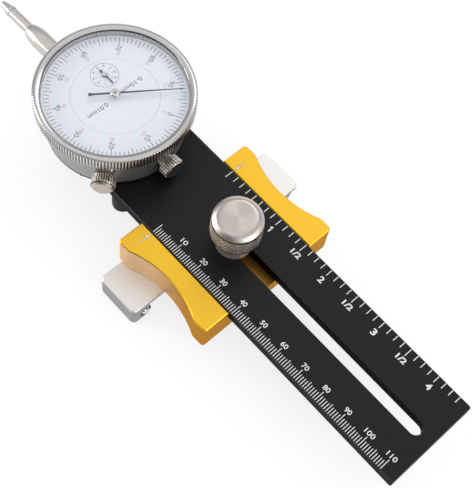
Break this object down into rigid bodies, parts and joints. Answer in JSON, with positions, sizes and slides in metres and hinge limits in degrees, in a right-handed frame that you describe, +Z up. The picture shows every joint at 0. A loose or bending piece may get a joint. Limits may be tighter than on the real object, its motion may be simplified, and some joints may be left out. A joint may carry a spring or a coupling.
{
  "type": "table saw alignment gauge",
  "caption": "Dial indicator on a slotted scale arm that slides in a waisted base with a miter slot bar and is locked by a knurled knob.",
  "frame": {"origin": "on the saw table's surface under the arm's centre line, at the zero of the arm's scales", "axes": "+X along the arm away from the indicator, +Z up out of the table"},
  "size_m": [0.2215, 0.08, 0.0439],
  "materials": {
    "gold_anodised": "satin gold anodised",
    "pale_aluminium": "bead-blasted",
    "black_anodised": "satin black with white scale marks",
    "nickel": "nickel plated, turned",
    "chrome_bezel": "polished rim, knurled side",
    "satin_case": "satin silver",
    "bright_steel": "polished",
    "black_oxide": "black oxide",
    "black_plastic": "fine matt",
    "black_rubber": "matt",
    "dial_white": "matt white with black and red figures",
    "crystal_clear": "clear",
    "pointer_black": "satin black",
    "brass": "turned"
  },
  "bodies": {
    "base": {"base_body": "gold_anodised", "miter_bar": "pale_aluminium", "bar_screw_1": "black_oxide", "bar_screw_2": "black_oxide", "plunger_body_near": "black_oxide", "plunger_body_far": "black_oxide", "plunger_spring_near": "bright_steel", "plunger_spring_far": "bright_steel"},
    "ball_near": {"plunger_ball_near": "bright_steel"},
    "ball_far": {"plunger_ball_far": "bright_steel"},
    "clamp_lift": {"clamp_washer": "bright_steel"},
    "clamp": {"clamp_knob": "nickel", "clamp_screw": "bright_steel"},
    "arm": {"scale_arm": "black_anodised", "support_foot_near": "black_rubber", "support_foot_far": "black_rubber", "foot_screw_near": "black_oxide", "foot_screw_far": "black_oxide", "back_cover": "black_plastic", "indicator_case": "satin_case", "mount_screw_1": "black_oxide", "mount_screw_2": "black_oxide", "mount_screw_3": "black_oxide", "cover_screw_1": "black_oxide", "cover_screw_2": "black_oxide", "cover_screw_3": "black_oxide", "cover_screw_4": "black_oxide", "centre_dial": "dial_white", "lower_plate": "brass", "upper_plate": "brass", "pillar_1": "brass", "pillar_2": "brass", "pillar_3": "brass", "stem_sleeve": "nickel", "rear_bush": "nickel", "guide_rail": "black_oxide", "hairspring": "bright_steel", "return_spring": "bright_steel"},
    "spindle": {"rack_spindle": "nickel", "contact_point": "bright_steel", "lifting_cap": "nickel", "guide_pin": "nickel"},
    "main_hand": {"main_pointer": "pointer_black", "centre_arbor": "bright_steel"},
    "counter": {"counter_pointer": "pointer_black", "counter_wheel": "brass"},
    "takeup": {"takeup_wheel": "brass"},
    "bezel": {"bezel": "chrome_bezel", "crystal": "crystal_clear", "graduated_ring": "dial_white"},
    "lock_plate": {"bezel_lock_plate": "nickel"},
    "lock_screw": {"bezel_lock_screw": "nickel"}
  },
  "joints": [
    {"name": "arm_slide", "type": "slide", "parent": "base", "child": "arm", "axis": [-1, 0, 0], "range_m": [0, 0.0865]},
    {"name": "knob_lift", "type": "slide", "parent": "base", "child": "clamp_lift", "axis": [0, 0, 1], "range_m": [0, 0.0056]},
    {"name": "knob_turn", "type": "hinge", "parent": "clamp_lift", "child": "clamp", "pos_m": [0.0209, 0, 0.0136], "axis": [0, 0, 1], "range_deg": [0, 2520.5]},
    {"name": "ball_near_press", "type": "slide", "parent": "base", "child": "ball_near", "axis": [-1, 0, 0], "range_m": [0, 0.0006], "stiffness_N_per_m": 2000, "springref_m": -0.001},
    {"name": "ball_far_press", "type": "slide", "parent": "base", "child": "ball_far", "axis": [-1, 0, 0], "range_m": [0, 0.0006], "stiffness_N_per_m": 2000, "springref_m": -0.001},
    {"name": "spindle_slide", "type": "slide", "parent": "arm", "child": "spindle", "axis": [0.9997, 0.0227, 0], "range_m": [0, 0.01], "stiffness_N_per_m": 20, "springref_m": -0.03, "deforming": ["return_spring"]},
    {"name": "main_hand_turn", "type": "hinge", "parent": "arm", "child": "main_hand", "pos_m": [-0.04208, 0, 0.0136], "axis": [0, 0, 1], "range_deg": [-3600.5, 0]},
    {"name": "counter_turn", "type": "hinge", "parent": "arm", "child": "counter", "pos_m": [-0.05101, 0.0026, 0.0136], "axis": [0, 0, 1], "range_deg": [0, 360.5]},
    {"name": "takeup_turn", "type": "hinge", "parent": "arm", "child": "takeup", "pos_m": [-0.03315, -0.0026, 0.0136], "axis": [0, 0, 1], "range_deg": [0, 360.5]},
    {"name": "bezel_turn", "type": "hinge", "parent": "arm", "child": "bezel", "pos_m": [-0.04208, 0, 0.0136], "axis": [0, 0, 1], "continuous": true},
    {"name": "lock_back_off", "type": "slide", "parent": "arm", "child": "lock_plate", "axis": [0.6626, -0.749, 0], "range_m": [0, 0.00025]},
    {"name": "lock_turn", "type": "hinge", "parent": "lock_plate", "child": "lock_screw", "pos_m": [-0.04208, 0, 0.02007], "axis": [0.6626, -0.749, 0], "range_deg": [0, 180.5]}
  ],
  "couplings": [
    {"joint": "knob_turn", "follows": "knob_lift", "rad_per_m": 7854},
    {"joint": "main_hand_turn", "follows": "spindle_slide", "rad_per_m": -6283.2},
    {"joint": "counter_turn", "follows": "spindle_slide", "rad_per_m": 628.32},
    {"joint": "takeup_turn", "follows": "spindle_slide", "rad_per_m": 628.32},
    {"joint": "lock_turn", "follows": "lock_back_off", "rad_per_m": 12566}
  ]
}
